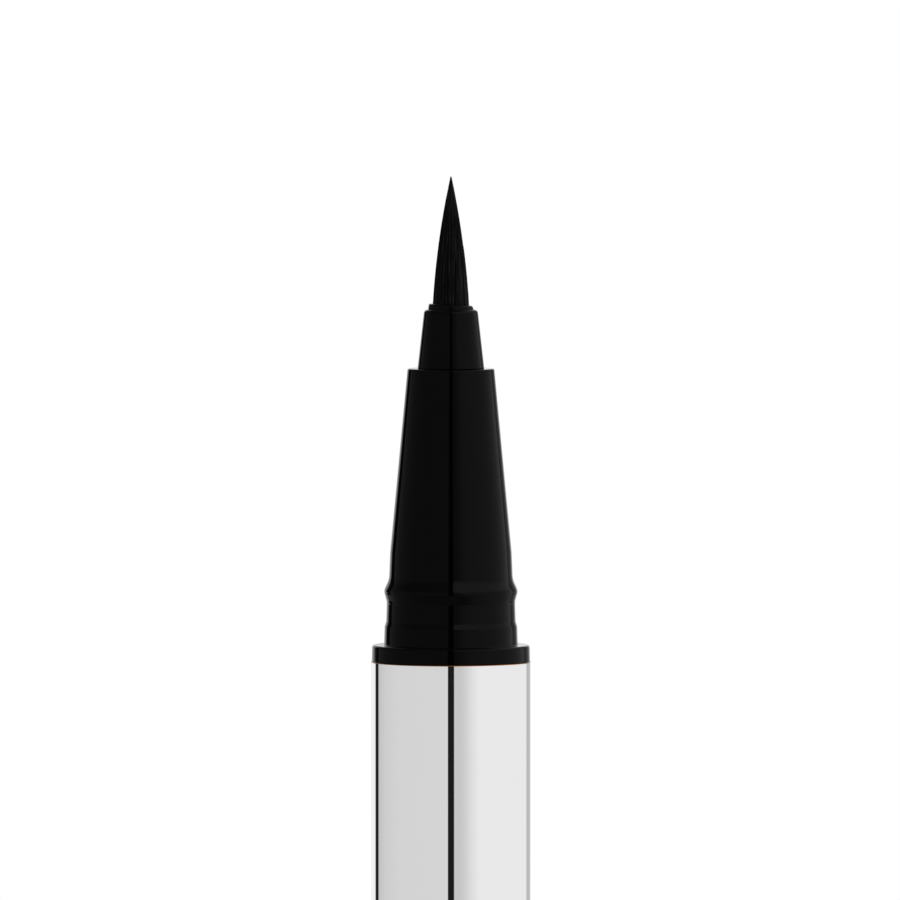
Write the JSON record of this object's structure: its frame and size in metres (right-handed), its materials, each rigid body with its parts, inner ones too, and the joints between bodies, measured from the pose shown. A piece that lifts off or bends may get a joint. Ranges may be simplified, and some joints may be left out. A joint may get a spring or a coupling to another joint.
{
  "type": "liquid eyeliner pen",
  "caption": "Slim round eyeliner pen with a pointed brush tip, a stepped black nose with a snap bead, a bright metal barrel and a metal cap posted on the tail.",
  "frame": {"origin": "on the pen's axis, in the end face of the cap posted on the tail, which the pen stands on", "axes": "+Z along the pen towards the brush, +X to the right as the picture shows it"},
  "size_m": [0.01, 0.01, 0.1533],
  "materials": {
    "bristle": "fine black bristles",
    "holder_black": "satin black",
    "gloss_black": "gloss black",
    "natural_plastic": "natural, milky",
    "feed_fibre": "ink-soaked fibre",
    "bright_metal": "mirror bright",
    "steel": "bright drawn",
    "liner_black": "moulded black"
  },
  "bodies": {
    "pen": {"brush_tip": "bristle", "brush_holder": "holder_black", "tip_sleeve": "gloss_black", "front_section": "gloss_black", "collector": "natural_plastic", "feed_core": "feed_fibre", "ink_tank": "natural_plastic", "barrel_sleeve": "bright_metal", "tail_plug": "gloss_black"},
    "cap": {"cap_shell": "bright_metal", "cap_liner": "liner_black", "seal_spring": "steel", "spring_seat": "liner_black"},
    "seal_cup": {"seal_cup": "natural_plastic"},
    "mixing_ball": {"mixing_ball": "steel"}
  },
  "joints": [
    {"name": "cap_pull", "type": "slide", "parent": "cap", "child": "pen", "axis": [0, 0, 1], "range_m": [0, 0.012]},
    {"name": "seal_cup_press", "type": "slide", "parent": "cap", "child": "seal_cup", "axis": [0, 0, -1], "range_m": [0, 0.002], "stiffness_N_per_m": 150, "springref_m": -0.004, "deforming": ["seal_spring"]},
    {"name": "mixing_ball_slide", "type": "slide", "parent": "pen", "child": "mixing_ball", "axis": [0, 0, 1], "range_m": [0, 0.0795]}
  ]
}
